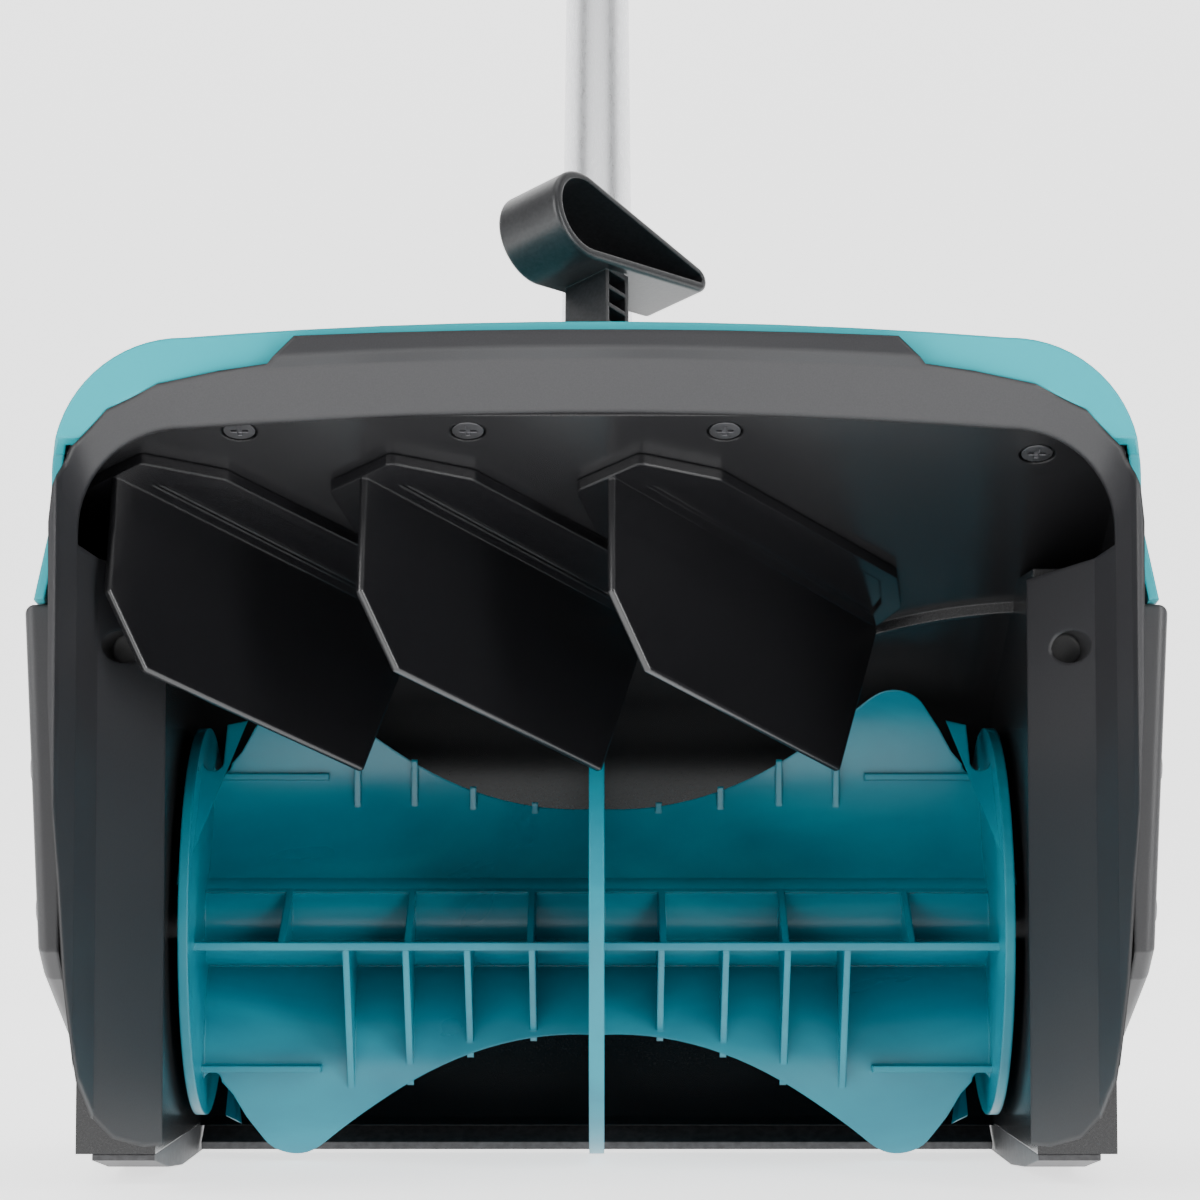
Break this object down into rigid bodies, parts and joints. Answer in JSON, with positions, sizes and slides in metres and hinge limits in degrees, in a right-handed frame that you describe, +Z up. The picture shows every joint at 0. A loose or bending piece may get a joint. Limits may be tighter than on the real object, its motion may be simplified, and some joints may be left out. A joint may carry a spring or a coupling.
{
  "type": "snow thrower attachment",
  "caption": "Snow-throwing head for a split-shaft power tool: a housing with a paddle rotor, steerable deflector vanes on a lever, and a rising drive pipe.",
  "frame": {"origin": "on the ground, under the middle of the whole object's bounding box", "axes": "+X to the viewer's right when facing the mouth, the mouth faces -Y, the pipe rises towards +Y, +Z up"},
  "size_m": [0.3248, 0.8173, 0.7869],
  "materials": {
    "housing_black": "satin moulded plastic",
    "frame_grey": "dark grey textured glass-filled plastic",
    "cover_teal": "satin moulded plastic",
    "rotor_teal": "satin moulded plastic with faint flow marks",
    "vane_black": "glossy moulded plastic",
    "lever_black": "satin moulded plastic",
    "crank_black": "satin moulded plastic",
    "scraper_black": "worn matt plastic",
    "screw_steel": "zinc-plated",
    "bearing_steel": "ground steel",
    "shaft_steel": "turned steel",
    "gear_steel": "oiled cut steel",
    "pulley_plastic": "moulded plastic",
    "bush_plastic": "natural nylon",
    "pipe_aluminium": "satin anodised",
    "belt_rubber": "matt rubber"
  },
  "bodies": {
    "housing": {"housing_shell": "housing_black", "front_frame": "frame_grey", "top_cover": "cover_teal", "side_cover_left": "frame_grey", "side_cover_right": "frame_grey", "scraper_bar": "scraper_black", "sole_left": "scraper_black", "sole_right": "scraper_black", "ceiling_screws": "screw_steel", "cover_screws": "screw_steel", "scraper_screws": "screw_steel", "gear_case_left": "housing_black", "gear_case_right": "housing_black", "case_screws": "screw_steel", "gear_bearings": "bearing_steel", "rotor_bearings": "bearing_steel", "shaft_bushes": "bush_plastic", "pipe": "pipe_aluminium", "drive_belt": "belt_rubber"},
    "rotor": {"paddle_rotor": "rotor_teal", "rotor_shaft": "shaft_steel", "rotor_pulley": "pulley_plastic", "rotor_nuts": "screw_steel"},
    "cross_shaft": {"cross_shaft": "shaft_steel", "bevel_gear": "gear_steel", "drive_pulley": "pulley_plastic"},
    "drive_shaft": {"drive_shaft": "shaft_steel", "bevel_pinion": "gear_steel"},
    "vane_centre": {"vane_centre": "vane_black", "deflector_lever": "lever_black"},
    "vane_left": {"vane_left": "vane_black", "crank_left": "crank_black"},
    "vane_right": {"vane_right": "vane_black", "crank_right": "crank_black"},
    "link_bar": {"link_bar": "crank_black"}
  },
  "joints": [
    {"name": "rotor_spin", "type": "hinge", "parent": "housing", "child": "rotor", "pos_m": [0, -0.25866, 0.0744], "axis": [1, 0, 0], "continuous": true},
    {"name": "cross_shaft_spin", "type": "hinge", "parent": "housing", "child": "cross_shaft", "pos_m": [0, -0.21866, 0.1805], "axis": [1, 0, 0], "continuous": true},
    {"name": "drive_shaft_spin", "type": "hinge", "parent": "housing", "child": "drive_shaft", "pos_m": [0, -0.21866, 0.1805], "axis": [0, 0.7193, 0.6947], "continuous": true},
    {"name": "deflector_swing", "type": "hinge", "parent": "housing", "child": "vane_centre", "pos_m": [0, -0.29846, 0.17394], "axis": [0, 0.4067, 0.9135], "range_deg": [0, 82]},
    {"name": "vane_left_swing", "type": "hinge", "parent": "housing", "child": "vane_left", "pos_m": [-0.0705, -0.29846, 0.17394], "axis": [0, 0.4067, 0.9135], "range_deg": [0, 82]},
    {"name": "vane_right_swing", "type": "hinge", "parent": "housing", "child": "vane_right", "pos_m": [0.0705, -0.29846, 0.17394], "axis": [0, 0.4067, 0.9135], "range_deg": [0, 82]},
    {"name": "link_bar_swing", "type": "hinge", "parent": "vane_centre", "child": "link_bar", "pos_m": [0.01446, -0.28331, 0.16719], "axis": [0, 0.4067, 0.9135], "range_deg": [-82, 0]}
  ],
  "couplings": [
    {"joint": "cross_shaft_spin", "follows": "rotor_spin", "ratio": 1.75},
    {"joint": "drive_shaft_spin", "follows": "rotor_spin", "ratio": -1.75},
    {"joint": "vane_left_swing", "follows": "deflector_swing", "ratio": 1},
    {"joint": "vane_right_swing", "follows": "deflector_swing", "ratio": 1},
    {"joint": "link_bar_swing", "follows": "deflector_swing", "ratio": -1}
  ]
}
